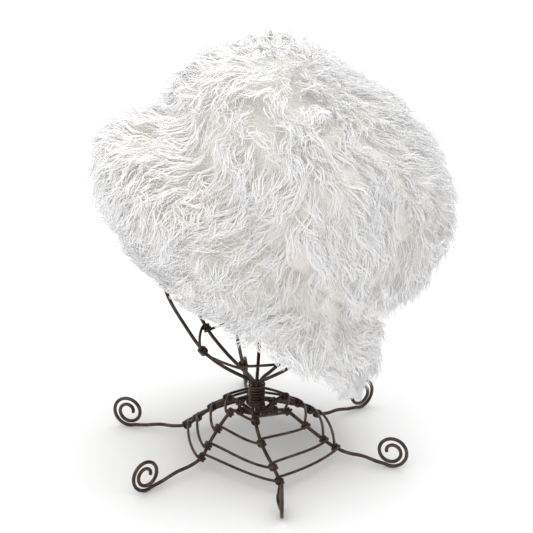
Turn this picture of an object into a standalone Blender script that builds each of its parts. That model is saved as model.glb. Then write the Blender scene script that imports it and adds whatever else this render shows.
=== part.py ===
"""A white sheepskin telpek hat that sits askew on a stand of six bent wires.

Each stand wire is a scroll foot, a web leg, a stretch of the neck and a rib of the head basket.
Thinner wires go round the legs as a web, round the ribs as hoops and round the neck as a coil.
The hat is a leather skin, cut as a side wall and a crown, with the outer form of its fleece on it.
Metres, +Z up, the front towards -Y. The origin is on the floor, under the middle of the whole.
"""

import math

import bmesh
import bpy
import numpy as np

# Wire sizes and the clear gap that neighbouring solids keep.
WIRE_RADIUS = 0.0016
HOOP_WIRE_RADIUS = 0.00125
COIL_WIRE_RADIUS = 0.00095
GAP = 0.0004

# A bearing is in degrees from the front (-Y), growing towards +X.
LEG_BEARINGS = (9.7, 72.5, 128.5, 185.0, 250.8, 310.2)
RIB_BEARINGS = (-13.0, 52.0, 112.0, 176.0, 240.0, 295.5)
NECK_FIRST_BEARING = -3.0
NECK_RADIUS = 0.0041

# How far each leg's web crossings lie from the axis, against the plain leg below.
LEG_REACH = (1.25, 1.07, 1.03, 1.0, 0.98, 0.93)
# Degrees by which the front leg bows towards +X at the web's outer rings, and back further in.
FRONT_LEG_BOW = 3.5

# Scroll foot: a spiral in the leg's upright plane, wound outwards, up, over and in again.
SCROLL_CENTRE_RADIUS = 0.1250
SCROLL_RADIUS = 0.0142
SCROLL_TURN = 640.0
SCROLL_STEP = 22.0
SCROLL_SHRINK = 0.70
SCROLL_SHRINK_POWER = 1.4
FRONT_SCROLL_TWIST = -9.7  # degrees, so the front foot's scroll faces straight ahead
FOOT_FLAT_HALF_ANGLE = 7.0

# Side views of a wire as (distance from the stand's axis, height) points on smooth curves.
LEG_PROFILE = (
    (0.1085, 0.0041),
    (0.0950, 0.0072),
    (0.0810, 0.0080),
    (0.0686, 0.0116),
    (0.0591, 0.0193),
    (0.0447, 0.0315),
    (0.0294, 0.0429),
    (0.0190, 0.0418),
    (0.0105, 0.0378),
    (0.0060, 0.0362),
)
NECK_HEIGHTS = (0.0405, 0.0530, 0.0650)
RIB_PROFILE = (
    (0.0072, 0.0695),
    (0.0138, 0.0740),
    (0.0330, 0.0880),
    (0.0520, 0.1070),
    (0.0690, 0.1350),
    (0.0825, 0.1610),
    (0.0885, 0.1810),
    (0.0910, 0.2070),
    (0.0875, 0.2400),
    (0.0750, 0.2740),
    (0.0520, 0.3020),
    (0.0270, 0.3165),
    (0.0070, 0.3200),
)
# Where each thin wire crosses the legs or the ribs: a point's place in the profile above.
WEB_RING_PLACES = (3, 4, 5, 6)
BASKET_RING_PLACES = (3, 6, 11)
BASKET_RING_SIDES = (-1, 1, 1)
HOOP_DIP = 0.07
HOOP_STEPS = 6
# The smallest web ring's distance from the axis and height.
INNER_RING = (0.0165, 0.0352)

COIL_START = 0.0412
COIL_END = 0.0648
COIL_PITCH = 0.0027
COIL_STEPS = 8

# The hat's levels from the rim to the crown's pole. Each is an oval that leans to the right:
# its left end x, z, its right end x, z, half its depth, how far its front is lifted, and the
# depth of the fleece on the skin there.
HAT_LEVELS = (
    (-0.1050, 0.1800, 0.0960, 0.0570, 0.1070, 0.0360, 0.0085),
    (-0.1200, 0.2060, 0.1050, 0.0760, 0.1200, 0.0310, 0.0180),
    (-0.1400, 0.2480, 0.1110, 0.0980, 0.1360, 0.0220, 0.0280),
    (-0.1360, 0.2960, 0.1120, 0.1200, 0.1360, 0.0140, 0.0300),
    (-0.0800, 0.3220, 0.1080, 0.1340, 0.1230, 0.0080, 0.0220),
    (-0.0640, 0.3460, 0.1400, 0.1580, 0.1320, 0.0060, 0.0280),
    (-0.0400, 0.3610, 0.1660, 0.2000, 0.1320, 0.0040, 0.0320),
    (-0.0080, 0.3690, 0.1720, 0.2450, 0.1180, 0.0020, 0.0330),
    (0.0280, 0.3700, 0.1580, 0.2850, 0.0920, 0.0000, 0.0330),
    (0.0620, 0.3590, 0.1340, 0.3150, 0.0520, 0.0000, 0.0330),
    (0.0990, 0.3400, 0.0990, 0.3400, 0.0000, 0.0000, 0.0330),
)
SEAM_LEVEL = 4
RINGS_PER_LEVEL = 1.5
HAT_STEPS = 36
SKIN_THICKNESS = 0.002


def clear_scene():
    for item in list(bpy.data.objects):
        bpy.data.objects.remove(item, do_unlink=True)


def make_material(name, colour, roughness, metallic):
    material = bpy.data.materials.new(name)
    material.use_nodes = True
    shader = material.node_tree.nodes["Principled BSDF"]
    shader.inputs["Base Color"].default_value = (*colour, 1.0)
    shader.inputs["Roughness"].default_value = roughness
    shader.inputs["Metallic"].default_value = metallic
    return material


def add_object(name, data, material):
    item = bpy.data.objects.new(name, data)
    bpy.context.collection.objects.link(item)
    data.materials.append(material)
    return item


def at_bearing(bearing, radius, height):
    """The point at a bearing in degrees, a distance from the stand's axis and a height."""
    angle = math.radians(bearing)
    return np.array((radius * math.sin(angle), -radius * math.cos(angle), height))


def smooth_rows(rows, places):
    """Rows read at fractional places along a Catmull-Rom curve through them."""
    rows = np.asarray(rows, dtype=float)
    last = len(rows) - 1
    place = np.atleast_1d(np.asarray(places, dtype=float))
    start = np.clip(np.floor(place).astype(int), 0, last - 1)
    f = (place - start)[:, None]
    before, here, after, beyond = (
        rows[np.clip(start + shift, 0, last)] for shift in (-1, 0, 1, 2)
    )
    straight = 2 * here + (after - before) * f
    bend = (2 * before - 5 * here + 4 * after - beyond) * f**2
    return 0.5 * (straight + bend + (3 * here - before - 3 * after + beyond) * f**3)


def add_tube(name, points, radius, material, closed=False):
    """A six-sided wire along a path."""
    curve = bpy.data.curves.new(name, "CURVE")
    curve.dimensions = "3D"
    curve.bevel_depth = radius
    curve.bevel_resolution = 1
    curve.use_fill_caps = not closed
    spline = curve.splines.new("POLY")
    spline.points.add(len(points) - 1)
    spline.points.foreach_set("co", np.column_stack((points, np.ones(len(points)))).ravel())
    spline.use_cyclic_u = closed
    return add_object(name, curve, material)


def scroll_points(number):
    """The foot's spiral from its inner end to the flat at its lowest point."""
    bearing = LEG_BEARINGS[number]
    facing = bearing + (FRONT_SCROLL_TWIST if number == 0 else 0.0)
    start = -90.0 - 3 * FOOT_FLAT_HALF_ANGLE
    flat = (-90.0 - FOOT_FLAT_HALF_ANGLE, -90.0 + FOOT_FLAT_HALF_ANGLE)
    turns = np.arange(-90.0 + 3 * FOOT_FLAT_HALF_ANGLE, SCROLL_TURN - 90.0, SCROLL_STEP)
    angles = np.concatenate(((start,), flat, turns))
    wound = np.clip((angles - flat[1]) / SCROLL_TURN, 0.0, 1.0)
    reach = SCROLL_RADIUS * (1.0 - SCROLL_SHRINK * wound**SCROLL_SHRINK_POWER)
    lowest = SCROLL_RADIUS * math.cos(math.radians(FOOT_FLAT_HALF_ANGLE))
    height = WIRE_RADIUS + lowest + reach * np.sin(np.radians(angles))
    out = reach * np.cos(np.radians(angles))
    centre = at_bearing(bearing, SCROLL_CENTRE_RADIUS, 0.0)
    return [centre + at_bearing(facing, r, z) for r, z in zip(out[::-1], height[::-1])]


def leg_rows(number):
    """A leg's bearing, distance from the axis and height, from its foot to the neck. From the
    outermost web ring inwards it turns towards its own place in the neck."""
    place = np.arange(len(LEG_PROFILE))
    radius, height = np.array(LEG_PROFILE).T
    leg = LEG_BEARINGS[number]
    neck = NECK_FIRST_BEARING + 360.0 / len(LEG_BEARINGS) * number
    turned = np.interp(place, (WEB_RING_PLACES[0], place[-1]), (0.0, 1.0))
    reach_places = (-1, WEB_RING_PLACES[0], WEB_RING_PLACES[1], WEB_RING_PLACES[-1] + 1)
    reached = np.interp(place, reach_places, (0.0, 1.0, 1.0, 0.0))
    radius = radius * (1.0 + (LEG_REACH[number] - 1.0) * reached)
    bow = FRONT_LEG_BOW if number == 0 else 0.0
    bowed = bow * np.interp(place, (1, 3, 4, 6, place[-1]), (0.0, 1.0, 1.0, -1.6, 0.0))
    return np.column_stack((leg + (neck - leg) * turned + bowed, radius, height))


def rib_rows(number):
    """A rib's bearing, distance from the axis and height, from the neck to the basket's top."""
    bearings = np.full(len(RIB_PROFILE), RIB_BEARINGS[number])
    bearings[0] = (leg_rows(number)[-1][0] + RIB_BEARINGS[number]) / 2
    return np.column_stack((bearings, RIB_PROFILE))


def wire_points(number):
    """A stand wire's path: scroll foot, web leg, neck, basket rib."""
    leg = leg_rows(number)
    neck = [(leg[-1][0], NECK_RADIUS, height) for height in NECK_HEIGHTS]
    knots = [at_bearing(*row) for row in (*leg, *neck, *rib_rows(number))]
    places = np.arange(0.0, len(knots) - 0.75, 0.5)
    return np.vstack((scroll_points(number), smooth_rows(knots, places)))


def add_stand_wires(material):
    for number in range(len(LEG_BEARINGS)):
        add_tube(f"wire_{number + 1}", wire_points(number), WIRE_RADIUS, material)


def crossing(rows, place, side):
    """Where a thin wire crosses a leg or a rib: beside its middle line, clear of its surface."""
    here, before, after = (smooth_rows(rows, place + shift)[0] for shift in (0.0, -0.2, 0.2))
    run, rise = (after - before)[1:]
    away = side * (WIRE_RADIUS + HOOP_WIRE_RADIUS + GAP) / math.hypot(run, rise)
    return here + away * np.array((0.0, -rise, run))


def hoop_points(crossings, steps):
    """A closed hoop through its crossings that dips towards the axis between them."""
    points = []
    for here, after in zip(crossings, [*crossings[1:], crossings[0] + (360.0, 0.0, 0.0)]):
        for step in range(steps):
            share = step / steps
            eased = share * share * (3.0 - 2.0 * share)
            radius, height = here[1:] + (after - here)[1:] * eased
            radius *= 1.0 - HOOP_DIP * math.sin(math.pi * share) ** 2
            points.append(at_bearing(here[0] + (after - here)[0] * share, radius, height))
    return np.array(points)


def add_hoop(name, rows_of_wire, place, side, material):
    """A thin wire round the legs or the ribs, at one place of their profile."""
    crossings = [
        crossing(rows_of_wire(number), place, side) for number in range(len(LEG_BEARINGS))
    ]
    add_tube(name, hoop_points(crossings, HOOP_STEPS), HOOP_WIRE_RADIUS, material, closed=True)


def add_web_rings(material):
    """The rings that lie on the legs, and a small one that passes under them at the neck."""
    for number, place in enumerate(WEB_RING_PLACES):
        add_hoop(f"web_ring_{number + 1}", leg_rows, place, -1, material)
    inner = [np.array((bearing, *INNER_RING)) for bearing in LEG_BEARINGS]
    name = f"web_ring_{len(WEB_RING_PLACES) + 1}"
    add_tube(name, hoop_points(inner, HOOP_STEPS - 2), HOOP_WIRE_RADIUS, material, closed=True)


def add_basket_rings(material):
    for number, (place, side) in enumerate(zip(BASKET_RING_PLACES, BASKET_RING_SIDES)):
        add_hoop(f"basket_ring_{number + 1}", rib_rows, place, side, material)


def add_neck_coil(material):
    """Thin wire wound round the six wires of the neck."""
    radius = NECK_RADIUS + WIRE_RADIUS + GAP + COIL_WIRE_RADIUS
    count = int((COIL_END - COIL_START) / COIL_PITCH * COIL_STEPS) + 1
    turn = np.arange(count) / COIL_STEPS
    height = COIL_START + turn * COIL_PITCH
    angle = 2 * math.pi * turn
    points = np.column_stack((radius * np.cos(angle), radius * np.sin(angle), height))
    add_tube("neck_coil", points, COIL_WIRE_RADIUS, material)


def hat_surface(places):
    """Rings of points on the outer form of the fleece, and the fleece's depth on each."""
    rows = smooth_rows(HAT_LEVELS, places)
    left_x, left_z, right_x, right_z, depth, lift, fleece = (column[:, None] for column in rows.T)
    angle = np.linspace(0.0, 2 * math.pi, HAT_STEPS, endpoint=False)
    across, ahead = np.cos(angle), np.sin(angle)
    x = (left_x + right_x) / 2 + (right_x - left_x) / 2 * across
    z = (left_z + right_z) / 2 + (right_z - left_z) / 2 * across + lift * ahead
    return np.stack((x, -depth * ahead, z), axis=-1), fleece[..., None]


def hat_normals(rings):
    """Outward unit normals on the rings, with the pole's along the crown's lean."""
    along = np.gradient(rings, axis=0)
    around = np.roll(rings, -1, axis=1) - np.roll(rings, 1, axis=1)
    normals = np.cross(along, around)
    normals[-1] = np.cross(rings[-2] - rings[-1], around[-2]).mean(axis=0) * -1.0
    lengths = np.linalg.norm(normals, axis=-1, keepdims=True)
    return normals / lengths


def add_loop(mesh, ring):
    """The ring's vertices, or one vertex where its points all meet at a pole."""
    is_pole = np.ptp(ring, axis=0).max() < GAP / 10
    return [mesh.verts.new(point) for point in (ring[:1] if is_pole else ring)]


def join_loops(mesh, low, high):
    """Triangles between two loops, each quad split from low's point to high's next one."""
    for step in range(max(len(low), len(high))):
        here, beyond = low[step % len(low)], high[(step + 1) % len(high)]
        if len(low) > 1:
            mesh.faces.new((here, low[(step + 1) % len(low)], beyond))
        if len(high) > 1:
            mesh.faces.new((here, beyond, high[step % len(high)]))


def shell_body(name, outside, inside, material):
    """A closed wall between two surfaces that are given as rings in the same order."""
    mesh = bmesh.new()
    outer_loops = [add_loop(mesh, ring) for ring in outside]
    inner_loops = [add_loop(mesh, ring) for ring in inside]
    for loops in (outer_loops, inner_loops):
        for low, high in zip(loops, loops[1:]):
            join_loops(mesh, low, high)
    for end in (0, -1):
        if len(outer_loops[end]) > 1:
            join_loops(mesh, outer_loops[end], inner_loops[end])
    bmesh.ops.recalc_face_normals(mesh, faces=mesh.faces)
    data = bpy.data.meshes.new(name)
    mesh.to_mesh(data)
    mesh.free()
    data.shade_smooth()
    return add_object(name, data, material)


def add_hat(skin_material, fleece_material):
    """The side wall from the rim to the seam and the crown from the seam to its pole."""
    last = len(HAT_LEVELS) - 1
    side_places = np.linspace(0.0, SEAM_LEVEL, int(SEAM_LEVEL * RINGS_PER_LEVEL) + 1)
    crown_count = int((last - SEAM_LEVEL) * RINGS_PER_LEVEL) + 1
    crown_places = np.linspace(SEAM_LEVEL, last, crown_count)
    outer, fleece = hat_surface(np.concatenate((side_places, crown_places[1:])))
    normals = hat_normals(outer)
    seam = len(side_places) - 1
    layers = {
        "fleece": (outer, outer - normals * (fleece - GAP)),
        "hide": (outer - normals * fleece, outer - normals * (fleece + SKIN_THICKNESS)),
    }
    materials = {"fleece": fleece_material, "hide": skin_material}
    for layer, (outside, inside) in layers.items():
        shell_body(f"side_{layer}", outside[: seam + 1], inside[: seam + 1], materials[layer])
        crown = [wall[seam:].copy() for wall in (outside, inside)]
        for wall in crown:
            step = wall[1] - wall[0]
            wall[0] += step / np.linalg.norm(step, axis=-1, keepdims=True) * GAP
        shell_body(f"crown_{layer}", *crown, materials[layer])


def centre_on_floor():
    """Hangs everything on an empty that puts the middle of the whole box over the origin."""
    bpy.context.view_layer.update()
    items = list(bpy.data.objects)
    corners = np.array([corner[:] for item in items for corner in item.bound_box])
    low, high = corners.min(axis=0), corners.max(axis=0)
    holder = bpy.data.objects.new("hat_and_stand", None)
    bpy.context.collection.objects.link(holder)
    holder.location = (-(low[0] + high[0]) / 2, -(low[1] + high[1]) / 2, -low[2])
    for item in items:
        item.parent = holder


def main():
    clear_scene()
    wire = make_material("bronze_wire", (0.075, 0.047, 0.035), 0.42, 0.85)
    skin = make_material("sheep_hide", (0.74, 0.66, 0.55), 0.8, 0.0)
    fleece = make_material("white_fleece", (0.92, 0.91, 0.90), 0.9, 0.0)
    add_stand_wires(wire)
    add_web_rings(wire)
    add_neck_coil(wire)
    add_basket_rings(wire)
    add_hat(skin, fleece)
    centre_on_floor()


main()
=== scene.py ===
"""The telpek hat's finish: bent wire with real wraps, suede skin and long white wool."""

import math

import bpy
import numpy as np
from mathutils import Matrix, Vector


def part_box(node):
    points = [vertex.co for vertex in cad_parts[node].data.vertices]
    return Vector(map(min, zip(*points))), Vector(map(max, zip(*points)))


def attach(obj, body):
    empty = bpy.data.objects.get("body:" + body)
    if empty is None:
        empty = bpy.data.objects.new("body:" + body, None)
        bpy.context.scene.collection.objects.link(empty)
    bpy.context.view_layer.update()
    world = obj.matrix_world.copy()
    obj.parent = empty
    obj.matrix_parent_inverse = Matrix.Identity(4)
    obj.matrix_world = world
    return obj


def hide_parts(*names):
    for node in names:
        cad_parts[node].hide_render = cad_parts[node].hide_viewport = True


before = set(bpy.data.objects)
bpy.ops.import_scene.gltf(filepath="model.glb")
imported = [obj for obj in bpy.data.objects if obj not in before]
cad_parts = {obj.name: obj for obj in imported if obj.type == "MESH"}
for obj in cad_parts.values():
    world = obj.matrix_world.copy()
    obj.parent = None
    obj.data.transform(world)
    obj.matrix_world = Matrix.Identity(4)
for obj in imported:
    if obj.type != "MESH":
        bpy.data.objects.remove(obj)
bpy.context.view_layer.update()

bl_info = {
    "name": "Telpek hat on a wire stand",
    "version": (1, 0, 0),
    "blender": (4, 5, 0),
    "location": "View3D > Sidebar > Telpek",
    "description": "Makes the long-haired fleece, the skin and the bent wire of a telpek hat",
    "category": "Add Mesh",
}

# The stand's upright axis, which is the middle of the neck's coil.
COIL_LOW, COIL_HIGH = (np.array(corner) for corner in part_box("neck_coil"))
STAND_AXIS = (COIL_LOW + COIL_HIGH) / 2
STAND_AXIS[2] = 0.0

# Stand: bearings are in degrees from the front (-Y), growing towards +X.
LEG_BEARINGS = (9.7, 72.5, 128.5, 185.0, 250.8, 310.2)
RIB_BEARINGS = (-13.0, 52.0, 112.0, 176.0, 240.0, 295.5)
NECK_FIRST_BEARING = -3.0
NECK_RADIUS = 0.0041
LEG_REACH = (1.25, 1.07, 1.03, 1.0, 0.98, 0.93)
FRONT_LEG_BOW = 3.5
SCROLL_CENTRE_RADIUS = 0.1250
SCROLL_RADIUS = 0.0142
SCROLL_FIRST_ANGLE = -111.0
SCROLL_FULL_ANGLE = -83.0
SCROLL_SUNK_ANGLE = 7.0
SCROLL_TURN = 640.0
SCROLL_STEP = 10.0
SCROLL_SHRINK = 0.70
SCROLL_SHRINK_POWER = 1.4
FRONT_SCROLL_TWIST = -9.7
LEG_PROFILE = (
    (0.1085, 0.0041),
    (0.0950, 0.0072),
    (0.0810, 0.0080),
    (0.0686, 0.0116),
    (0.0591, 0.0193),
    (0.0447, 0.0315),
    (0.0294, 0.0429),
    (0.0190, 0.0418),
    (0.0105, 0.0378),
    (0.0060, 0.0362),
)
NECK_HEIGHTS = (0.0405, 0.0530, 0.0650)
RIB_PROFILE = (
    (0.0072, 0.0695),
    (0.0138, 0.0740),
    (0.0330, 0.0880),
    (0.0520, 0.1070),
    (0.0690, 0.1350),
    (0.0825, 0.1610),
    (0.0885, 0.1810),
    (0.0910, 0.2070),
    (0.0875, 0.2400),
    (0.0750, 0.2740),
    (0.0520, 0.3020),
    (0.0270, 0.3165),
    (0.0070, 0.3200),
)
WEB_RING_PLACES = (3, 4, 5, 6)
BASKET_RING_PLACES = (3, 6, 11)
INNER_RING_PLACE = 7.2
COIL_START = 0.0412
COIL_END = 0.0648
COIL_PITCH = 0.0027
COIL_STEPS = 24
COIL_UNEVEN = 0.00022

# Wire: sides of a round wire, and how a hoop winds round the wires that it crosses. The pitch is
# in hoop radii, and the bulge is how far a span leaves sideways, as a share of its length.
STAND_SIDES = 10
HOOP_SIDES = 8
HOOP_TURNS = 2.0
HOOP_PITCH = 2.1
HOOP_BULGE = 0.45
HOOP_WRAP_STEPS = 34
HOOP_SPAN_STEPS = 14

# Hat: the levels from the rim to the crown's pole, in the stand's own frame. Each is an oval:
# left end x, z, right end x, z, half its depth, front lift, and the fleece's depth there.
HAT_LEVELS = (
    (-0.1050, 0.1800, 0.0960, 0.0570, 0.1070, 0.0360, 0.0085),
    (-0.1200, 0.2060, 0.1050, 0.0760, 0.1200, 0.0310, 0.0180),
    (-0.1400, 0.2480, 0.1110, 0.0980, 0.1360, 0.0220, 0.0280),
    (-0.1360, 0.2960, 0.1120, 0.1200, 0.1360, 0.0140, 0.0300),
    (-0.0800, 0.3220, 0.1080, 0.1340, 0.1230, 0.0080, 0.0220),
    (-0.0640, 0.3460, 0.1400, 0.1580, 0.1320, 0.0060, 0.0280),
    (-0.0400, 0.3610, 0.1660, 0.2000, 0.1320, 0.0040, 0.0320),
    (-0.0080, 0.3690, 0.1720, 0.2450, 0.1180, 0.0020, 0.0330),
    (0.0280, 0.3700, 0.1580, 0.2850, 0.0920, 0.0000, 0.0330),
    (0.0620, 0.3590, 0.1340, 0.3150, 0.0520, 0.0000, 0.0330),
    (0.0990, 0.3400, 0.0990, 0.3400, 0.0000, 0.0000, 0.0330),
)
SEAM_LEVEL = 4.0
LAST_LEVEL = len(HAT_LEVELS) - 1.0
LEVEL_STEP = 0.01
SKIN_THICKNESS = 0.002
SKIN_GRID = (24, 90)
UNDERCOAT_GRID = (40, 140)
HAT_PARTS = {"side": (0.0, SEAM_LEVEL), "crown": (SEAM_LEVEL + 0.012, LAST_LEVEL)}

# Wool: where the crown's wool parts, in the stand's frame, and how far around it locks lie in
# any direction. A lock strays from the combed way by LOCK_TURN radians, more at the parting.
PARTING = np.array((0.020, 0.020, 0.400))
PARTING_REACH = 0.040
PARTING_TURN = 1.6
LOCK_TURN = 0.40
LOWEST_PLACE = -1.3

# How far the wool's surface stands beyond the fleece's outer form: on the walls, and on top at
# three distances to the right of the stand's axis. A rise over RISE_FREE levels off.
PROUD_SIDE = -0.0040
PROUD_TOP = ((-0.050, 0.020, 0.075), (0.005, 0.011, -0.004))
RISE_FREE = 0.012
RISE_SOFTENED = 0.007

# The share of a strand's own roundness in its normals.
SOFT_SHARE = 0.13

# Name, lowest and highest level, share of the locks, strands in a lock, rings, thin, seed.
LOCK_PIECES = (
    ("rim_locks", -0.02, 0.50, 0.13, 6, 9, False, 35),
    ("side_locks_1", 0.02, SEAM_LEVEL, 0.23, 6, 9, False, 31),
    ("side_locks_2", 0.02, SEAM_LEVEL, 0.23, 6, 9, False, 41),
    ("side_wisps", 0.02, SEAM_LEVEL, 0.50, 3, 6, True, 81),
    ("crown_locks_1", SEAM_LEVEL, LAST_LEVEL, 0.265, 6, 9, False, 32),
    ("crown_locks_2", SEAM_LEVEL, LAST_LEVEL, 0.265, 6, 9, False, 42),
    ("crown_wisps", SEAM_LEVEL, LAST_LEVEL, 0.56, 3, 6, True, 82),
)


class WireSizes(bpy.types.PropertyGroup):
    """The stand's wires."""

    radius: bpy.props.FloatProperty(
        name="Stand wire radius", default=0.0016, min=0.0005, unit="LENGTH",
        description="Half the thickness of the six bent wires",
    )
    hoop_radius: bpy.props.FloatProperty(
        name="Hoop wire radius", default=0.00125, min=0.0005, unit="LENGTH",
        description="Half the thickness of the wires that go round",
    )
    coil_radius: bpy.props.FloatProperty(
        name="Binding wire radius", default=0.00095, min=0.0003, unit="LENGTH",
        description="Half the thickness of the neck's binding wire",
    )
    dark: bpy.props.FloatVectorProperty(
        name="Bronze brown", subtype="COLOR", size=3, default=(0.045, 0.027, 0.021),
        min=0.0, max=1.0, description="The wire's darker patina",
    )
    light: bpy.props.FloatVectorProperty(
        name="Rubbed bronze", subtype="COLOR", size=3, default=(0.150, 0.098, 0.075),
        min=0.0, max=1.0, description="The wire where handling has rubbed it",
    )


class FleeceSizes(bpy.types.PropertyGroup):
    """The hat's skin and wool."""

    lock_length: bpy.props.FloatProperty(
        name="Lock length", default=0.030, min=0.01, unit="LENGTH",
        description="Length of a typical lock of wool",
    )
    lock_radius: bpy.props.FloatProperty(
        name="Strand radius", default=0.00058, min=0.0002, unit="LENGTH",
        description="Half the thickness of a strand of hairs",
    )
    under_depth: bpy.props.FloatProperty(
        name="Undercoat depth", default=0.012, min=0.0, unit="LENGTH",
        description="How far the dense undercoat lies below the fleece's outer form",
    )
    clumps: bpy.props.IntProperty(
        name="Locks", default=2320, min=100,
        description="How many locks the whole hat carries",
    )
    # White is the wool's own colour, shown fullest where the painted light is: at the tips and
    # where strands stand out.
    white: bpy.props.FloatVectorProperty(
        name="White wool", subtype="COLOR", size=3, default=(0.915, 0.917, 0.930),
        min=0.0, max=1.0, description="The wool's clean tips",
    )
    # Cream stands for painted shade in the wool: at the roots, deep in the fleece and in the
    # seam's groove.
    cream: bpy.props.FloatVectorProperty(
        name="Cream wool", subtype="COLOR", size=3, default=(0.885, 0.845, 0.790),
        min=0.0, max=1.0, description="The warmer wool deep in the fleece",
    )
    suede: bpy.props.FloatVectorProperty(
        name="Undyed suede", subtype="COLOR", size=3, default=(0.66, 0.57, 0.45),
        min=0.0, max=1.0, description="The skin's bare inner side",
    )


# --- Shader maths -----------------------------------------------------------------------


class Value:
    """A socket that takes part in Python expressions by adding Math nodes."""

    def __init__(self, shop, socket):
        self.shop, self.socket = shop, socket

    def _math(self, operation, first, second):
        node = self.shop.node("ShaderNodeMath", {"operation": operation}, {0: first, 1: second})
        return Value(self.shop, node.outputs[0])

    def __add__(self, other):
        return self._math("ADD", self, other)

    def __sub__(self, other):
        return self._math("SUBTRACT", self, other)

    def __rsub__(self, other):
        return self._math("SUBTRACT", other, self)

    def __mul__(self, other):
        return self._math("MULTIPLY", self, other)

    __radd__ = __add__

    def clamped(self):
        return self._math("MINIMUM", self._math("MAXIMUM", self, 0.0), 1.0)


class Shop:
    """A material under construction: one method makes any node."""

    def __init__(self, name):
        self.material = bpy.data.materials.new(name)
        self.material.use_nodes = True
        self.tree = self.material.node_tree
        self.shader = self.tree.nodes["Principled BSDF"]

    def node(self, kind, settings=None, sockets=None):
        node = self.tree.nodes.new(kind)
        for key, value in (settings or {}).items():
            setattr(node, key, value)
        for key, value in (sockets or {}).items():
            self.feed(node.inputs[key], value)
        return node

    def feed(self, socket, value):
        value = getattr(value, "socket", value)
        if isinstance(value, bpy.types.NodeSocket):
            self.tree.links.new(value, socket)
        else:
            socket.default_value = value

    def coordinates(self, output):
        return self.node("ShaderNodeTexCoord").outputs[output]

    def attribute(self, name):
        node = self.node("ShaderNodeAttribute", {"attribute_name": name})
        return Value(self, node.outputs["Fac"])

    def noise(self, vector, scale, detail=3.0, roughness=0.5):
        sockets = {"Vector": vector, "Scale": scale, "Detail": detail, "Roughness": roughness}
        return Value(self, self.node("ShaderNodeTexNoise", None, sockets).outputs["Fac"])

    def stretched(self, vector, scale):
        node = self.node("ShaderNodeVectorMath", {"operation": "MULTIPLY"}, {0: vector, 1: scale})
        return node.outputs[0]

    def mix(self, factor, first, second):
        node = self.node("ShaderNodeMix", {"data_type": "RGBA"}, {"Factor": factor})
        self.feed(node.inputs[6], first)
        self.feed(node.inputs[7], second)
        return node.outputs[2]

    def bump(self, height, strength, distance):
        sockets = {"Height": height, "Strength": strength, "Distance": distance}
        node = self.node("ShaderNodeBump", None, sockets)
        self.feed(self.shader.inputs["Normal"], node.outputs[0])

    def set(self, **sockets):
        for key, value in sockets.items():
            self.feed(self.shader.inputs[key.replace("_", " ")], value)


def rgba(colour):
    return (*colour, 1.0)


def wire_material(sizes):
    """Bronze-brown wire: cloudy patina, rubbed patches and faint drawing marks."""
    shop = Shop("patinated_wire")
    place = shop.coordinates("Object")
    cloud = shop.noise(place, 90.0, 4.0, 0.6)
    speck = shop.noise(place, 900.0, 2.0)
    rubbed = ((cloud - 0.42) * 3.0).clamped() * (0.35 + speck * 0.9)
    shop.set(
        Base_Color=shop.mix(rubbed.clamped(), rgba(sizes.dark), rgba(sizes.light)),
        Metallic=0.35,
        Roughness=(0.40 - rubbed * 0.12).clamped(),
        Specular_IOR_Level=0.22,
    )
    shop.bump(speck * 0.6 + cloud * 0.4, 0.25, 0.0004)
    return shop.material


# Painted light: white wool glows in its own colour, by this emission share, which stands in for
# the light that passes from hair to hair and fills its shadows. The undercoat glows with less of
# it, and is a little darker as painted shade deep in the fleece.
WOOL_PAINTED_GLOW = 0.205
UNDERCOAT_PAINTED_GLOW_SHARE = 0.6
UNDERCOAT_PAINTED_SHADE = 0.93


def wool_material(name, sizes, strand):
    """White wool: cream at the root, white at the tip, with fine hairs along each strand; the
    cream deep in the wool and in the seam's groove is painted shade, and the wool's glow in its
    own colour is painted light that fills its shadows. The undercoat has no strands, so its hairs
    are upright noise in a deeper bump; it is darkened as painted shade and glows less."""
    shop = Shop(name)
    place = shop.coordinates("Object")
    patch = shop.noise(place, 24.0, 3.0, 0.6)
    if strand:
        # This attribute is painted shade and light: white at the tip and where strands stand out,
        # cream at the root, deep in the wool and in the seam's groove.
        painted_light = shop.attribute("painted_light")
        hairs = shop.noise(shop.stretched(shop.coordinates("UV"), (6.0, 60.0, 1.0)), 4.0, 3.0)
        white = (painted_light * 0.9 + (patch - 0.5) * 0.7).clamped()
        shop.bump(hairs, 0.35, 0.0004)
    else:
        hairs = shop.noise(shop.stretched(place, (1.0, 1.0, 0.22)), 520.0, 4.0, 0.65)
        white = ((hairs - 0.35) * 1.6 + (patch - 0.5) * 0.4).clamped()
        shop.bump(hairs, 1.0, 0.003)
    # The undercoat's cream and white are darkened as painted shade deep in the fleece.
    dim = 1.0 if strand else UNDERCOAT_PAINTED_SHADE
    root, tip = (rgba(dim * part for part in colour) for colour in (sizes.cream, sizes.white))
    colour = shop.mix(white, root, tip)
    shop.set(
        Base_Color=colour,
        Roughness=(0.72 + hairs * 0.2).clamped(),
        Specular_IOR_Level=0.12,
        Subsurface_Weight=0.35,
        Subsurface_Radius=(1.0, 0.95, 0.9),
        Subsurface_Scale=0.003,
        # Painted light: the wool glows in its own colour to fill its shadows.
        Emission_Color=colour,
        Emission_Strength=WOOL_PAINTED_GLOW * (1.0 if strand else UNDERCOAT_PAINTED_GLOW_SHARE),
    )
    return shop.material


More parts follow.
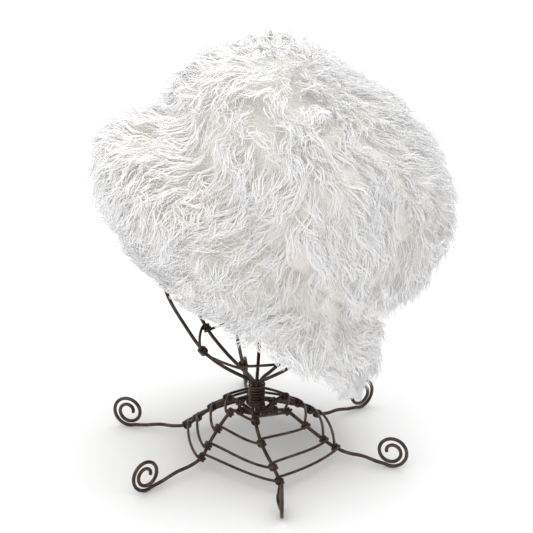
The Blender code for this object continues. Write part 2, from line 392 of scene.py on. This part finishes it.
def suede_material(sizes):
    """The skin's bare side: undyed suede with nap and darker handling marks."""
    shop = Shop("sheep_suede")
    place = shop.coordinates("Object")
    nap = shop.noise(place, 700.0, 4.0, 0.7)
    mark = shop.noise(place, 30.0, 3.0, 0.6)
    worn = tuple(channel * 0.72 for channel in sizes.suede)
    shop.set(
        Base_Color=shop.mix((mark * 0.7 + nap * 0.3).clamped(), rgba(worn), rgba(sizes.suede)),
        Roughness=(0.78 + nap * 0.2).clamped(),
        Specular_IOR_Level=0.2,
    )
    shop.bump(nap * 0.7 + mark * 0.3, 0.5, 0.0008)
    return shop.material


# --- Shapes -----------------------------------------------------------------------------


def unit(vectors):
    """Vectors scaled to a length of 1."""
    return vectors / np.maximum(np.linalg.norm(vectors, axis=-1, keepdims=True), 1e-12)


def make_piece(name, points, faces, material, nodes, strand=None):
    """A mesh piece from arrays: points, and a list of face arrays that each hold one width. A
    strand's arrays are its points' painted shade and light, their places along and round it, and
    normals."""
    mesh = bpy.data.meshes.new(name)
    corners = np.concatenate([face.ravel() for face in faces]).astype(np.int32)
    widths = np.concatenate([np.full(len(face), face.shape[1]) for face in faces])
    starts = np.concatenate(((0,), np.cumsum(widths)[:-1])).astype(np.int32)
    mesh.vertices.add(len(points))
    mesh.vertices.foreach_set("co", np.ascontiguousarray(points, dtype=np.float32).ravel())
    mesh.loops.add(len(corners))
    mesh.loops.foreach_set("vertex_index", corners)
    mesh.polygons.add(len(widths))
    mesh.polygons.foreach_set("loop_start", starts)
    mesh.update(calc_edges=True)
    mesh.validate()
    mesh.shade_smooth()
    if strand:
        painted_light, place, normals = strand
        layer = mesh.attributes.new("painted_light", "FLOAT", "POINT")
        layer.data.foreach_set("value", painted_light.astype(np.float32))
        layer = mesh.uv_layers.new(name="strand")
        layer.data.foreach_set("uv", place[corners].astype(np.float32).ravel())
        mesh.normals_split_custom_set_from_vertices(normals)
    mesh.materials.append(material)
    piece = bpy.data.objects.new(name, mesh)
    bpy.context.collection.objects.link(piece)
    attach(piece, "root")
    if nodes:
        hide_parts(*nodes)
    return piece


def grid_faces(rows, columns, closed_rows=False):
    """Quads of a grid whose columns close on themselves, as its rows do if asked."""
    row = np.arange(rows if closed_rows else rows - 1)[:, None]
    column = np.arange(columns)[None, :]
    after = (column + 1) % columns
    above = (row + 1) % rows
    quads = (row * columns + column, row * columns + after, above * columns + after,
             above * columns + column)
    return np.stack(np.broadcast_arrays(*quads), axis=-1).reshape(-1, 4)


def smooth_rows(rows, places):
    """Rows read at fractional places along a Catmull-Rom curve through them."""
    rows = np.asarray(rows, dtype=float)
    last = len(rows) - 1
    place = np.atleast_1d(np.asarray(places, dtype=float))
    start = np.clip(np.floor(place).astype(int), 0, last - 1)
    f = (place - start)[:, None]
    before, here, after, beyond = (
        rows[np.clip(start + shift, 0, last)] for shift in (-1, 0, 1, 2)
    )
    straight = 2 * here + (after - before) * f
    bend = (2 * before - 5 * here + 4 * after - beyond) * f**2
    return 0.5 * (straight + bend + (3 * here - before - 3 * after + beyond) * f**3)


def at_bearing(bearing, radius, height):
    """Points at bearings in degrees, distances from the stand's axis and heights."""
    angle = np.radians(bearing)
    parts = np.broadcast_arrays(radius * np.sin(angle), -radius * np.cos(angle), height)
    return np.stack(parts, axis=-1)


def tube(path, reference, radius, sides, closed):
    """A round profile carried along a path. Each ring is the circle radius * (cos a * side +
    sin a * up), where side is the reference direction crossed with the path's own."""
    count = len(path)
    if closed:
        along = unit(np.roll(path, -1, axis=0) - np.roll(path, 1, axis=0))
    else:
        along = unit(np.gradient(path, axis=0))
    side = unit(np.cross(reference, along))
    up = np.cross(along, side)
    angle = np.linspace(0.0, 2 * math.pi, sides, endpoint=False)[:, None]
    radius = np.broadcast_to(radius, (count,))[:, None, None]
    rings = np.cos(angle) * side[:, None] + np.sin(angle) * up[:, None]
    points = (path[:, None] + radius * rings).reshape(-1, 3)
    faces = [grid_faces(count, sides, closed)]
    if not closed:
        ends = path[[0, -1]] + along[[0, -1]] * np.array([[-0.5], [0.5]]) * radius[[0, -1], 0]
        points = np.vstack((points, ends))
        ring = np.arange(sides)
        after = (ring + 1) % sides
        first = np.stack((after, ring, np.full(sides, count * sides)), axis=-1)
        top = (count - 1) * sides
        last = np.stack((top + ring, top + after, np.full(sides, count * sides + 1)), axis=-1)
        faces.append(np.vstack((first, last)))
    return points, faces


# --- Stand ------------------------------------------------------------------------------


def leg_rows(number):
    """A leg's bearing, distance from the axis and height, from its foot to the neck."""
    place = np.arange(len(LEG_PROFILE))
    radius, height = np.array(LEG_PROFILE).T
    leg = LEG_BEARINGS[number]
    neck = NECK_FIRST_BEARING + 360.0 / len(LEG_BEARINGS) * number
    turned = np.interp(place, (WEB_RING_PLACES[0], place[-1]), (0.0, 1.0))
    reach_places = (-1, WEB_RING_PLACES[0], WEB_RING_PLACES[1], WEB_RING_PLACES[-1] + 1)
    reached = np.interp(place, reach_places, (0.0, 1.0, 1.0, 0.0))
    radius = radius * (1.0 + (LEG_REACH[number] - 1.0) * reached)
    bow = FRONT_LEG_BOW if number == 0 else 0.0
    bowed = bow * np.interp(place, (1, 3, 4, 6, place[-1]), (0.0, 1.0, 1.0, -1.6, 0.0))
    return np.column_stack((leg + (neck - leg) * turned + bowed, radius, height))


def rib_rows(number):
    """A rib's bearing, distance from the axis and height, from the neck to the basket's top."""
    bearings = np.full(len(RIB_PROFILE), RIB_BEARINGS[number])
    bearings[0] = (leg_rows(number)[-1][0] + RIB_BEARINGS[number]) / 2
    return np.column_stack((bearings, RIB_PROFILE))


def scroll_points(number, radius):
    """The foot's spiral: its reach shrinks as a power of the share of its turn that it has
    wound, reach = SCROLL_RADIUS * (1 - shrink * wound ** power)."""
    bearing = LEG_BEARINGS[number]
    facing = bearing + (FRONT_SCROLL_TWIST if number == 0 else 0.0)
    angles = np.arange(SCROLL_FIRST_ANGLE, SCROLL_TURN - 90.0, SCROLL_STEP)
    wound = np.clip((angles - SCROLL_FULL_ANGLE) / SCROLL_TURN, 0.0, 1.0)
    reach = SCROLL_RADIUS * (1.0 - SCROLL_SHRINK * wound**SCROLL_SHRINK_POWER)
    middle = radius + SCROLL_RADIUS * math.cos(math.radians(SCROLL_SUNK_ANGLE))
    height = middle + reach * np.sin(np.radians(angles))
    centre = at_bearing(bearing, SCROLL_CENTRE_RADIUS, 0.0)
    return (centre + at_bearing(facing, reach * np.cos(np.radians(angles)), height))[::-1]


def wire_path(number, radius):
    """Scroll foot, web leg, neck and basket rib."""
    leg = leg_rows(number)
    neck = [(leg[-1][0], NECK_RADIUS, height) for height in NECK_HEIGHTS]
    knots = np.vstack([at_bearing(*row) for row in (*leg, *neck, *rib_rows(number))])
    body = smooth_rows(knots, np.arange(0.0, len(knots) - 0.9, 0.125))
    return np.vstack((scroll_points(number, radius), body))


def crossing(rows, place):
    """A leg's or rib's point at a place, its own direction and its upper side's direction."""
    spots = smooth_rows(rows, (place - 0.1, place, place + 0.1))
    low, here, high = at_bearing(*spots.T)
    along = unit(high - low)
    radians = math.radians(spots[1][0])
    around = np.array((math.cos(radians), math.sin(radians), 0.0))
    around = unit(around - along * (around @ along))
    return here, along, -np.cross(along, around), around


def wrapped_hoop(crossings, wrap_radius, pitch):
    """A wire that winds twice round each leg: a helix whose circle is wrap_radius * (cos a *
    outside + sin a * around) and which climbs the leg by pitch a turn, then a Hermite span."""
    turns, wrap_steps, span_steps = HOOP_TURNS, HOOP_WRAP_STEPS, HOOP_SPAN_STEPS
    pieces, references = [], []
    angle = np.linspace(0.0, 2 * math.pi * turns, wrap_steps)[:, None]
    climb = np.linspace(-0.5, 0.5, wrap_steps)[:, None] * pitch * turns
    wraps = []
    for here, along, outside, around in crossings:
        circle = np.cos(angle) * outside + np.sin(angle) * around
        wraps.append(here + wrap_radius * circle + climb * along)
    for number, wrap in enumerate(wraps):
        after = (number + 1) % len(wraps)
        pieces.append(wrap)
        references.append(np.tile(crossings[number][1], (wrap_steps, 1)))
        start, end = wrap[-1], wraps[after][0]
        share = np.linspace(0.0, 1.0, span_steps + 2)[1:-1, None]
        stretch = np.linalg.norm(end - start)
        straight = 0.5 * (end - start)
        leave = crossings[number][3] * stretch * HOOP_BULGE + straight
        arrive = crossings[after][3] * stretch * HOOP_BULGE + straight
        span = (
            (2 * share**3 - 3 * share**2 + 1) * start
            + (share**3 - 2 * share**2 + share) * leave
            + (3 * share**2 - 2 * share**3) * end
            + (share**3 - share**2) * arrive
        )
        pieces.append(span)
        blend = (1 - share) * crossings[number][1] + share * crossings[after][1]
        references.append(blend)
    return np.vstack(pieces), np.vstack(references)


def add_hoop(name, rows_of_wire, place, sizes, material):
    """One hoop, which crosses all six wires at the same place of their rows."""
    crossings = []
    for number in range(len(LEG_BEARINGS)):
        here, along, outside, around = crossing(rows_of_wire(number), place)
        crossings.append((here + STAND_AXIS, along, outside, around))
    radius = sizes.hoop_radius
    path, reference = wrapped_hoop(crossings, sizes.radius + radius, radius * HOOP_PITCH)
    points, faces = tube(path, reference, radius, HOOP_SIDES, True)
    return make_piece(f"{name}_wire", points, faces, material, [name])


class TELPEK_OT_stand_wires(bpy.types.Operator):
    """Make the six bent wires, each a scroll foot, a web leg, a neck stretch and a rib"""

    bl_idname = "telpek.stand_wires"
    bl_label = "Stand wires"

    def execute(self, context):
        sizes = context.scene.telpek_wire
        material = material_of("wire")
        for number, bearing in enumerate(LEG_BEARINGS):
            path = wire_path(number, sizes.radius) + STAND_AXIS
            angle = math.radians(bearing)
            reference = np.array((math.cos(angle), math.sin(angle), 0.0))
            points, faces = tube(path, reference, sizes.radius, STAND_SIDES, False)
            make_piece(f"stand_wire_{number + 1}", points, faces, material,
                       [f"wire_{number + 1}"])
        return {"FINISHED"}


class TELPEK_OT_hoops(bpy.types.Operator):
    """Make the web's and the basket's hoops, wound twice round each wire that they cross"""

    bl_idname = "telpek.hoops"
    bl_label = "Web and basket hoops"

    def execute(self, context):
        sizes = context.scene.telpek_wire
        material = material_of("wire")
        for number, place in enumerate((*WEB_RING_PLACES, INNER_RING_PLACE)):
            add_hoop(f"web_ring_{number + 1}", leg_rows, place, sizes, material)
        for number, place in enumerate(BASKET_RING_PLACES):
            add_hoop(f"basket_ring_{number + 1}", rib_rows, place, sizes, material)
        return {"FINISHED"}


class TELPEK_OT_neck_binding(bpy.types.Operator):
    """Wind the thin binding wire round the neck"""

    bl_idname = "telpek.neck_binding"
    bl_label = "Neck binding"

    def execute(self, context):
        sizes = context.scene.telpek_wire
        turns = (COIL_END - COIL_START) / COIL_PITCH
        turn = np.linspace(0.0, turns, int(turns * COIL_STEPS))
        wound = NECK_RADIUS + sizes.radius + sizes.coil_radius
        radius = wound + COIL_UNEVEN * np.sin(turn * 2.4 + 0.7)
        height = COIL_START + turn * COIL_PITCH
        path = at_bearing(np.degrees(turn * 2 * math.pi), radius, height) + STAND_AXIS
        points, faces = tube(path, np.array((0.0, 0.0, 1.0)), sizes.coil_radius, HOOP_SIDES,
                             False)
        make_piece("neck_binding", points, faces, material_of("wire"),
                   ["neck_coil"])
        return {"FINISHED"}


# --- Hat --------------------------------------------------------------------------------


def wander(points, reach, seed, waves=14):
    """A smooth random field from about -1 to 1: sines along random directions, a reach apart."""
    draw = np.random.default_rng(seed)
    directions = unit(draw.normal(size=(waves, 3))) * (2 * math.pi / reach)
    directions *= draw.uniform(0.6, 1.4, (waves, 1))
    phases = draw.uniform(0.0, 2 * math.pi, waves)
    total = np.zeros(points.shape[:-1])
    for direction, phase in zip(directions, phases):
        total += np.sin(points @ direction + phase)
    return total / math.sqrt(waves)


def hat_points(places, angles):
    """The fleece's outer form: at each level an oval, centre + cos a * half its lean + sin a *
    half its depth, lifted at the front. Places below 0 carry the wall straight on, past the
    rim. Returns points and the fleece's depth."""
    levels = np.array(HAT_LEVELS)
    rows = smooth_rows(levels, np.maximum(places, 0.0))
    rows = rows + np.minimum(places, 0.0)[..., None] * (levels[1] - levels[0])
    left_x, left_z, right_x, right_z, depth, lift, fleece = rows.T
    across, ahead = np.cos(angles), np.sin(angles)
    x = (left_x + right_x) / 2 + (right_x - left_x) / 2 * across
    z = (left_z + right_z) / 2 + (right_z - left_z) / 2 * across + lift * ahead
    return np.stack((x, -depth * ahead, z), axis=-1) + STAND_AXIS, fleece


def hat_frame(places, angles):
    """Points, outward normals and fleece depths, from differences along the two parameters."""
    step = LEVEL_STEP
    points, fleece = hat_points(places, angles)
    low = hat_points(places - step, angles)[0]
    high = hat_points(np.minimum(places + step, LAST_LEVEL), angles)[0]
    around = hat_points(places, angles + step)[0] - hat_points(places, angles - step)[0]
    return points, unit(np.cross(high - low, around)), fleece


def hat_grid(low, high, rows, columns):
    """The surface on a grid of levels and angles, each as rows of a ring."""
    places = np.repeat(np.linspace(low, min(high, LAST_LEVEL - 0.02), rows), columns)
    angles = np.tile(np.linspace(0.0, 2 * math.pi, columns, endpoint=False), rows)
    points, normals, fleece = hat_frame(places, angles)
    shape = (rows, columns, 3)
    return points.reshape(shape), normals.reshape(shape), fleece.reshape(rows, columns, 1)


def shell(outside, inside, capped):
    """A closed wall between two grids of rings: their sides, the band that joins their first
    rings, and either the band at their last rings or a cap on each of them."""
    rows, columns = outside.shape[:2]
    points = np.vstack((outside.reshape(-1, 3), inside.reshape(-1, 3)))
    size = rows * columns
    faces = [grid_faces(rows, columns), grid_faces(rows, columns)[:, ::-1] + size]
    ring = np.arange(columns)
    after = (ring + 1) % columns
    faces.append(np.stack((after, ring, ring + size, after + size), axis=-1))
    top = size - columns
    if capped:
        poles = np.stack((outside[-1].mean(axis=0), inside[-1].mean(axis=0)))
        points = np.vstack((points, poles))
        first = np.full(columns, 2 * size)
        outer = np.stack((top + ring, top + after, first), axis=-1)
        inner = np.stack((top + after + size, top + ring + size, first + 1), axis=-1)
        faces.append(np.vstack((outer, inner)))
    else:
        faces.append(np.stack((top + ring, top + after, top + after + size, top + ring + size),
                              axis=-1))
    return points, faces


class TELPEK_OT_skin(bpy.types.Operator):
    """Make the skin of the side wall and of the crown, bare suede towards the head"""

    bl_idname = "telpek.skin"
    bl_label = "Skin"

    def execute(self, context):
        material = material_of("suede")
        for part, (low, high) in HAT_PARTS.items():
            outer, normals, fleece = hat_grid(low, high, *SKIN_GRID)
            ripple = 0.0006 * wander(outer, 0.05, 5)[..., None]
            outside = outer - normals * (fleece + ripple)
            inside = outside - normals * SKIN_THICKNESS
            points, faces = shell(outside, inside, part == "crown")
            make_piece(f"{part}_skin", points, faces, material, [f"{part}_hide"])
        return {"FINISHED"}


class TELPEK_OT_undercoat(bpy.types.Operator):
    """Make the dense undercoat, lumpy where locks part, under the long wool"""

    bl_idname = "telpek.undercoat"
    bl_label = "Undercoat"

    def execute(self, context):
        sizes = context.scene.telpek_fleece
        material = material_of("undercoat")
        for part, (low, high) in HAT_PARTS.items():
            outer, normals, fleece = hat_grid(low, high, *UNDERCOAT_GRID)
            lumps = 0.0012 * wander(outer, 0.030, 11) + 0.0010 * wander(outer, 0.012, 12)
            sunk = np.minimum(sizes.under_depth, fleece * 0.60)
            outside = outer - normals * (sunk + np.clip(lumps[..., None], -0.002, 0.002))
            inside = outer - normals * (fleece - 0.0008)
            points, faces = shell(outside, inside, part == "crown")
            make_piece(f"{part}_undercoat", points, faces, material,
                       [f"{part}_fleece"])
        return {"FINISHED"}


def root_places(count, low, high, draw):
    """Levels and angles spread evenly by area over the hat between two levels, then jittered."""
    rows, columns = 160, 160
    edges = np.linspace(low, min(high, LAST_LEVEL - 0.01), rows + 1)
    middle = (edges[1:] + edges[:-1]) / 2
    angles = np.linspace(0.0, 2 * math.pi, columns, endpoint=False)
    places = np.repeat(middle, columns)
    around = np.tile(angles, rows)
    step = LEVEL_STEP
    here = hat_points(places, around)[0]
    ahead = hat_points(np.minimum(places + step, LAST_LEVEL), around)[0] - here
    beside = hat_points(places, around + step)[0] - here
    area = np.cumsum(np.linalg.norm(np.cross(ahead, beside), axis=-1))
    cells = np.searchsorted(area, (np.arange(count) + draw.random(count)) / count * area[-1])
    cells = np.minimum(cells, len(area) - 1)
    jitter = draw.uniform(-0.5, 0.5, (2, count))
    return (places[cells] + jitter[0] * (edges[1] - edges[0]),
            around[cells] + jitter[1] * (angles[1] - angles[0]))


def combed(points, normals, places):
    """The way that the wool lies. On the crown it falls away from the top, on the side wall it
    hangs, swept to the left on the puffed side, and everywhere it swirls a little."""
    local = points - STAND_AXIS
    from_top = unit(local - PARTING)
    crown = from_top + np.array((-0.22, 0.0, -0.25))
    left = np.clip(0.5 - local[..., :1] / 0.16, 0.0, 1.0)
    spread = unit(local * np.array((1.0, 1.0, 0.0)))
    side = np.array((0.0, 0.0, -1.0)) + left * np.array((-0.9, 0.0, 0.35)) + spread * 0.35
    share = np.clip((places - SEAM_LEVEL + 0.6) / 1.2, 0.0, 1.0)[..., None]
    flow = unit(crown) * share + unit(side) * (1 - share)
    flow = unit(flow - normals * (flow * normals).sum(-1, keepdims=True))
    swirl = 0.60 * wander(points, 0.090, 21) + 0.30 * wander(points, 0.032, 22)
    beside = np.cross(normals, flow)
    return flow * np.cos(swirl)[..., None] + beside * np.sin(swirl)[..., None]


def trails(places, angles, turned, lengths, steps):
    """Lines that run over the fleece's outer form along the combed direction. Each step goes
    straight ahead, finds the nearest level and angle by a damped least-squares move, and drops
    back onto the surface's own plane there. Returns points, normals and directions."""
    places, angles = places.copy(), angles.copy()
    spots, normals, _ = hat_frame(places, angles)
    points, rows = spots.copy(), []
    small, damp = LEVEL_STEP, 0.003**2
    for _ in range(steps):
        flow = combed(points, normals, places)
        flow = unit(flow * np.cos(turned) + np.cross(normals, flow) * np.sin(turned))
        rows.append((points, normals, flow))
        ahead = points + flow * lengths / (steps - 1)
        up = (hat_points(places + small, angles)[0] - spots) / small
        round_ = (hat_points(places, angles + small)[0] - spots) / small
        gap = ahead - spots
        uu, vv = (up * up).sum(-1) + damp, (round_ * round_).sum(-1) + damp
        uv, gu, gv = (up * round_).sum(-1), (gap * up).sum(-1), (gap * round_).sum(-1)
        area = uu * vv - uv * uv
        places = np.clip(places + (gu * vv - gv * uv) / area, LOWEST_PLACE, LAST_LEVEL - 0.02)
        angles = angles + np.clip((gv * uu - gu * uv) / area, -0.4, 0.4)
        spots, normals, _ = hat_frame(places, angles)
        points = ahead - normals * ((ahead - spots) * normals).sum(-1, keepdims=True)
    return (np.stack(row, axis=1) for row in zip(*rows))


def strands(paths, radii, references, painted_light):
    """Three-sided tapered strands, each closed to a point at both ends. paths is strands by
    rings by 3; the first and the last of a path's points are its two tips. A strand's normals
    lean to the fleece's own, reference + SOFT_SHARE * outward, so wool is lit as one body, and
    their own share grows towards the tip."""
    count, rings = paths.shape[:2]
    along = unit(np.gradient(paths, axis=1))
    side = unit(np.cross(references, along))
    up = np.cross(along, side)
    angle = np.linspace(0.0, 2 * math.pi, 3, endpoint=False)[:, None]
    rim = np.cos(angle) * side[:, 1:-1, None] + 0.6 * np.sin(angle) * up[:, 1:-1, None]
    body = paths[:, 1:-1, None] + radii[:, 1:-1, None, None] * rim
    tips = paths[:, [0, -1]]
    points = np.concatenate((body.reshape(count, -1, 3), tips), axis=1)
    per = points.shape[1]
    quads = grid_faces(rings - 2, 3)
    ring = np.arange(3)
    after = (ring + 1) % 3
    top = (rings - 3) * 3
    first = np.stack((after, ring, np.full(3, per - 2)), axis=-1)
    last = np.stack((top + ring, top + after, np.full(3, per - 1)), axis=-1)
    base = (np.arange(count) * per)[:, None, None]
    faces = [(quads + base).reshape(-1, 4), (np.vstack((first, last)) + base).reshape(-1, 3)]
    share = np.repeat(np.linspace(0.0, 1.0, rings)[1:-1], 3)
    tip = np.tile(np.concatenate((share, (0.0, 1.0))), count)
    # Each point's painted shade and light, as lock_paths gives it.
    painted_light = np.hstack((np.repeat(painted_light[:, 1:-1], 3, axis=1), painted_light[:, [0, -1]])).ravel()
    turn = np.tile(np.concatenate((np.tile((0.0, 0.33, 0.67), rings - 2), (0.5, 0.5))), count)
    own = SOFT_SHARE * (1.0 + 1.6 * np.linspace(0.0, 1.0, rings)[1:-1] ** 2)[None, :, None, None]
    soft = unit(references[:, 1:-1, None] + own * unit(rim)).reshape(count, -1, 3)
    soft = np.concatenate((soft, references[:, [0, -1]]), axis=1).reshape(-1, 3)
    return points.reshape(-1, 3), faces, (painted_light, np.stack((tip, turn), axis=-1), soft)


def lock_paths(places, angles, children, rings, sizes, draw, thin):
    """Strands in locks. A lock's middle line runs over the fleece's outer form. Each strand
    starts beside the others, deep in the wool, rises to the surface as 1 - (1 - share) ** 2.4,
    closes in on the middle line and waves more and more towards its tip. A rise beyond
    RISE_FREE levels off, as over / (1 + over / RISE_SOFTENED). Locks that start close to the rim
    are cut to hang a little past it, most at the front, and stray less."""
    count = len(places)
    share = np.linspace(0.0, 1.0, rings)[None, None, :, None]

    def per_lock(low, high):
        return draw.uniform(low, high, (count, 1, 1, 1))

    def per_strand(low, high):
        return draw.uniform(low, high, (count, children, 1, 1))

    edge = hat_points(np.zeros(count), angles)[0]
    start, _, fleece = hat_frame(places, angles)
    to_rim = np.linalg.norm(start - edge, axis=-1)[:, None, None, None]
    long = sizes.lock_length * per_lock(0.65, 1.25)
    front = np.clip(np.sin(angles), 0.0, 1.0)[:, None, None, None]
    past_rim = per_lock(0.004, 0.009) + (0.006 if thin else 0.014) * front
    long = np.minimum(long, to_rim + past_rim)
    free = np.clip(to_rim / 0.050, 0.12, 1.0)
    near = np.linalg.norm((start - STAND_AXIS - PARTING)[:, :2], axis=-1)
    near = near / PARTING_REACH
    unruly = LOCK_TURN + PARTING_TURN * np.clip(1.0 - near, 0.0, 1.0)
    turned = draw.normal(0.0, 1.0, (count, 1)) * unruly[:, None]
    points, normals, flow = trails(places, angles, turned, long[:, 0, 0], rings)
    beside = np.cross(normals, flow)

    def wide(vectors):
        return vectors[:, None]

    top = np.clip(normals[..., 2], 0.0, 1.0)
    raised = np.interp(points[..., 0] - STAND_AXIS[0], *PROUD_TOP)
    deep = np.clip(fleece / 0.012 - 0.7, 0.0, 1.0)[:, None]
    proud = (PROUD_SIDE * deep * (1.0 - top) + raised * top)[:, None, :, None]
    proud = proud + 0.0014 * wander(points, 0.045, 41)[:, None, :, None]
    sunk = np.minimum(sizes.under_depth * 1.15, fleece * 0.75)
    sunk = (sunk * np.clip(near, 0.3, 1.0))[:, None, None, None]
    height = per_lock(-0.002, 0.002) * share - sunk * (1 - share) ** 2.4
    standing = draw.random((count, children, 1, 1)) < (0.75 if thin else 0.3)
    height = height + free * standing * per_strand(0.001, 0.011) * share**2.4
    waves = per_lock(0.9, 2.0) * long / 0.026
    phase = per_lock(0.0, 2 * math.pi) + per_strand(-0.7, 0.7)
    swing = per_lock(0.0008, 0.0024) * (0.35 + 0.65 * share)
    sway = swing * np.sin(2 * math.pi * waves * share + phase)
    lift = 0.6 * swing * np.cos(2 * math.pi * waves * share + phase)
    spread = 1 - (0.30 if thin else 0.60) * share**0.8
    reach = 0.0080 if thin else 0.0055
    stray = per_strand(-0.006, 0.006) * share**2 * (1.6 if thin else 0.7) * free
    shift = per_strand(-reach, reach) * (1 - 0.3 * share) * free
    rise = proud + height + lift
    over = np.maximum(rise - RISE_FREE, 0.0)
    rise = rise - over + over / (1.0 + over / RISE_SOFTENED)
    paths = wide(points) + wide(normals) * rise
    paths = paths + wide(beside) * (sway + per_strand(-reach, reach) * spread + stray)
    paths = (paths + wide(flow) * shift).reshape(-1, rings, 3)
    shape = np.sin(math.pi * np.clip(share * 0.88 + 0.14, 0.0, 1.0)) ** 0.7
    radii = sizes.lock_radius * per_strand(0.6, 1.25) * (0.5 if thin else 1.0) * shape
    radii = np.broadcast_to(radii, (count, children, rings, 1)).reshape(-1, rings)
    # Painted shade and light for each point: cream at the root, deep below the surface and in the
    # seam's groove, white towards the tip and where strands stand out.
    groove = np.exp(-(((places - SEAM_LEVEL) / 0.40) ** 2))[:, None, None, None]
    painted_light = 0.4 * share + 0.6 * np.clip(1.0 + (height + lift) / 0.010, 0.0, 1.2) - 0.35 * groove
    painted_light = np.broadcast_to(painted_light, (count, children, rings, 1)).reshape(-1, rings)
    references = np.broadcast_to(wide(normals), (count, children, rings, 3)).reshape(-1, rings, 3)
    return paths, radii, references, painted_light


class TELPEK_OT_locks(bpy.types.Operator):
    """Grow the long wavy locks and the fine loose wisps between them"""

    bl_idname = "telpek.locks"
    bl_label = "Locks of wool"

    def execute(self, context):
        sizes = context.scene.telpek_fleece
        material = material_of("wool")
        for name, low, high, portion, children, rings, thin, seed in LOCK_PIECES:
            draw = np.random.default_rng(seed)
            places, angles = root_places(int(sizes.clumps * portion), low, high, draw)
            paths = lock_paths(places, angles, children, rings, sizes, draw, thin)
            points, faces, strand = strands(*paths)
            make_piece(name, points, faces, material, [], strand)
        return {"FINISHED"}


# --- Stage ------------------------------------------------------------------------------

FLOOR_HALF = 9.0
FLOOR_DROP = 0.0004
SKY_STRENGTH = 0.95
# Name, place, size and power.
LAMPS = (
    ("key_light", (-1.0, -1.3, 2.3), 2.8, 15.0),
    ("top_light", (0.2, 0.2, 2.4), 2.4, 24.0),
)
CAMERA_DISTANCE = 1.7
CAMERA_ELEVATION = 22.2
CAMERA_LENS = 132.6
CAMERA_SHIFT = (0.0182, -0.0452)
AIM_HEIGHT = 0.2


def add_area_light(name, place, size, power):
    """A soft square lamp turned to the middle of the object."""
    data = bpy.data.lights.new(name, "AREA")
    data.shape, data.size, data.energy = "SQUARE", size, power
    lamp = bpy.data.objects.new(name, data)
    lamp.location = place
    bpy.context.collection.objects.link(lamp)
    direction = Vector((0.0, 0.0, AIM_HEIGHT)) - lamp.location
    lamp.rotation_euler = direction.to_track_quat("-Z", "Y").to_euler()


class TELPEK_OT_stage(bpy.types.Operator):
    """Set the plain pale floor, the soft studio light and the camera"""

    bl_idname = "telpek.stage"
    bl_label = "Stage"

    def execute(self, context):
        scene = context.scene
        half, drop = FLOOR_HALF, -FLOOR_DROP
        corners = np.array(((-half, -half, drop), (half, -half, drop), (half, half, drop),
                            (-half, half, drop)))
        mesh = bpy.data.meshes.new("floor")
        mesh.from_pydata(corners.tolist(), [], [(0, 1, 2, 3)])
        shop = Shop("pale_floor")
        haze = shop.noise(shop.coordinates("Object"), 3.0)
        shop.set(
            Base_Color=shop.mix(haze, (0.90, 0.90, 0.90, 1.0), (0.93, 0.93, 0.93, 1.0)),
            Roughness=0.9,
            Specular_IOR_Level=0.1,
        )
        mesh.materials.append(shop.material)
        floor = bpy.data.objects.new("floor", mesh)
        context.collection.objects.link(floor)

        world = bpy.data.worlds.new("studio")
        world.use_nodes = True
        background = world.node_tree.nodes["Background"]
        background.inputs["Color"].default_value = (1.0, 1.0, 1.0, 1.0)
        background.inputs["Strength"].default_value = SKY_STRENGTH
        scene.world = world
        for lamp in LAMPS:
            add_area_light(*lamp)

        elevation = math.radians(CAMERA_ELEVATION)
        data = bpy.data.cameras.new("camera")
        data.lens = CAMERA_LENS
        data.shift_x, data.shift_y = CAMERA_SHIFT
        camera = bpy.data.objects.new("camera", data)
        camera.location = (
            STAND_AXIS[0],
            STAND_AXIS[1] - CAMERA_DISTANCE * math.cos(elevation),
            AIM_HEIGHT + CAMERA_DISTANCE * math.sin(elevation),
        )
        camera.rotation_euler = (math.pi / 2 - elevation, 0.0, 0.0)
        context.collection.objects.link(camera)
        scene.camera = camera
        scene.view_settings.view_transform = "Standard"
        return {"FINISHED"}


# --- Add-on -----------------------------------------------------------------------------


def material_of(kind):
    """The hat's and stand's materials, each made once."""
    scene = bpy.context.scene
    makers = {
        "wire": ("patinated_wire", lambda: wire_material(scene.telpek_wire)),
        "suede": ("sheep_suede", lambda: suede_material(scene.telpek_fleece)),
        "undercoat": ("wool_undercoat", lambda: wool_material("wool_undercoat",
                                                              scene.telpek_fleece, False)),
        "wool": ("wool_locks", lambda: wool_material("wool_locks", scene.telpek_fleece, True)),
    }
    name, maker = makers[kind]
    return bpy.data.materials.get(name) or maker()


class TELPEK_PT_panel(bpy.types.Panel):
    """Lists the hat's sizes and colours and the operators that make it"""

    bl_label = "Telpek hat"
    bl_idname = "TELPEK_PT_panel"
    bl_space_type = "VIEW_3D"
    bl_region_type = "UI"
    bl_category = "Telpek"

    def draw(self, context):
        for group in (context.scene.telpek_wire, context.scene.telpek_fleece):
            for key in group.__annotations__:
                self.layout.prop(group, key)
        for operator in OPERATORS:
            self.layout.operator(operator.bl_idname)


OPERATORS = (
    TELPEK_OT_stage,
    TELPEK_OT_stand_wires,
    TELPEK_OT_hoops,
    TELPEK_OT_neck_binding,
    TELPEK_OT_skin,
    TELPEK_OT_undercoat,
    TELPEK_OT_locks,
)
CLASSES = (WireSizes, FleeceSizes, *OPERATORS, TELPEK_PT_panel)


def register():
    for item in CLASSES:
        bpy.utils.register_class(item)
    bpy.types.Scene.telpek_wire = bpy.props.PointerProperty(type=WireSizes)
    bpy.types.Scene.telpek_fleece = bpy.props.PointerProperty(type=FleeceSizes)


def unregister():
    del bpy.types.Scene.telpek_fleece
    del bpy.types.Scene.telpek_wire
    for item in reversed(CLASSES):
        bpy.utils.unregister_class(item)


def main():
    register()
    for operator in OPERATORS:
        group, name = operator.bl_idname.split(".")
        getattr(getattr(bpy.ops, group), name)()


if __name__ == "__main__":
    main()
